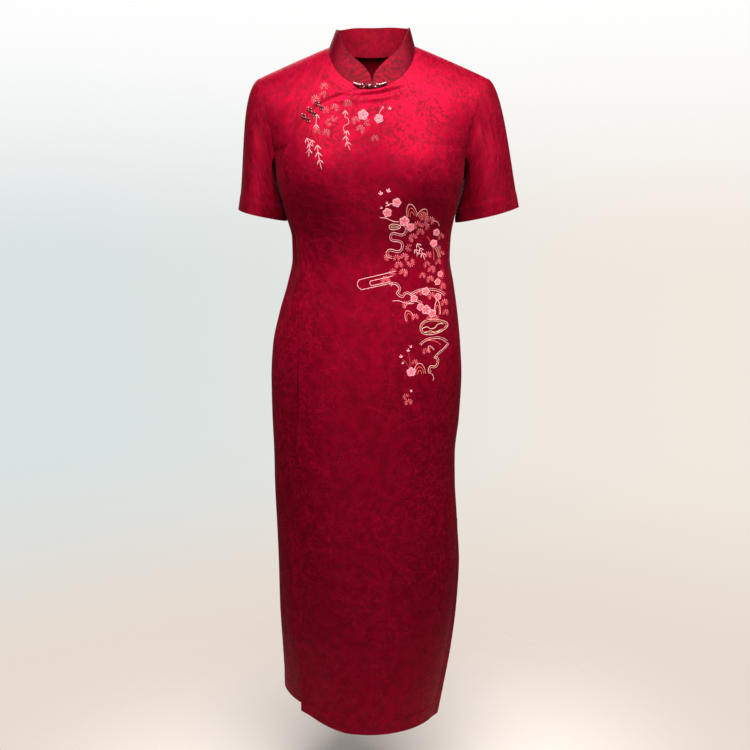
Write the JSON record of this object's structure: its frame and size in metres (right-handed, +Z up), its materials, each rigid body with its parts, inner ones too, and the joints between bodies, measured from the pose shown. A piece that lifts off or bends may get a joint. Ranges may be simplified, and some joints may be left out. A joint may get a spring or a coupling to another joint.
{
  "type": "cheongsam dress",
  "caption": "Fitted ankle-length dress with a stand collar, slanted front opening with metal clasps, short sleeves and side slits, in the hollow form it has when worn.",
  "frame": {"origin": "midway between the neck ends of the two shoulder seams, where the wearer's shoulders carry the dress", "axes": "+Z up along the wearer, -Y the way the wearer faces, +X the wearer's left"},
  "size_m": [0.4903, 0.2383, 1.2832],
  "materials": {
    "red_satin": "satin jacquard with tonal branch and flower figures and thread embroidery",
    "clasp_metal": "dark bronze with bright worn ridges"
  },
  "bodies": {
    "root": {"front": "red_satin", "front_under_piece": "red_satin", "back": "red_satin", "sleeve_right": "red_satin", "sleeve_left": "red_satin", "collar": "red_satin", "collar_clasp_hook": "clasp_metal", "collar_clasp_eye": "clasp_metal", "upper_fastening_hook": "clasp_metal", "upper_fastening_eye": "clasp_metal", "middle_fastening_hook": "clasp_metal", "middle_fastening_eye": "clasp_metal", "lower_fastening_hook": "clasp_metal", "lower_fastening_eye": "clasp_metal"}
  },
  "joints": []
}
